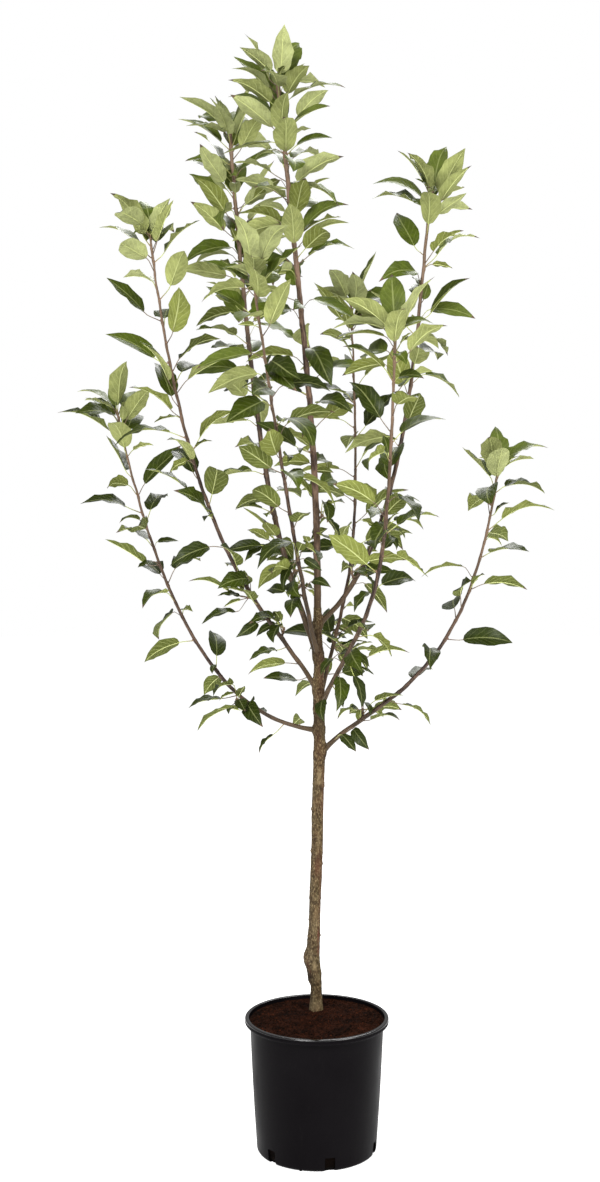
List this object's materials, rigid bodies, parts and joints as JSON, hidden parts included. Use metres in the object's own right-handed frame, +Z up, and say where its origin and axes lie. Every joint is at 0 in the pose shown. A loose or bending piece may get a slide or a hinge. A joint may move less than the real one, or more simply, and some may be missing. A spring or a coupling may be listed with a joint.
{
  "type": "dwarf apple tree in a pot",
  "caption": "Young apple tree on a slim straight stem with a graft bulge, upswept leafy boughs and a leader, in a round black nursery pot full of soil.",
  "frame": {"origin": "middle of the pot's flat underside, on the surface that it stands on", "axes": "+Z up, -Y towards the front, +X to the right as seen from the front"},
  "size_m": [0.9496, 0.7177, 2.1443],
  "materials": {
    "pot": "matte black moulded plastic",
    "soil": "damp dark brown compost",
    "trunk": "smooth olive brown bark",
    "bough": "red-brown young bark",
    "foliage": "green leaves, glossy above and matte below"
  },
  "bodies": {
    "root": {"pot": "pot", "soil": "soil", "trunk": "trunk", "leader-bough": "bough", "left-high-bough": "bough", "left-middle-bough": "bough", "left-low-bough": "bough", "right-low-bough": "bough", "right-high-bough": "bough", "right-front-bough": "bough", "left-front-bough": "bough", "rear-bough": "bough", "leader-foliage": "foliage", "left-high-foliage": "foliage", "left-middle-foliage": "foliage", "left-low-foliage": "foliage", "right-low-foliage": "foliage", "right-high-foliage": "foliage", "right-front-foliage": "foliage", "left-front-foliage": "foliage", "rear-foliage": "foliage"}
  },
  "joints": []
}
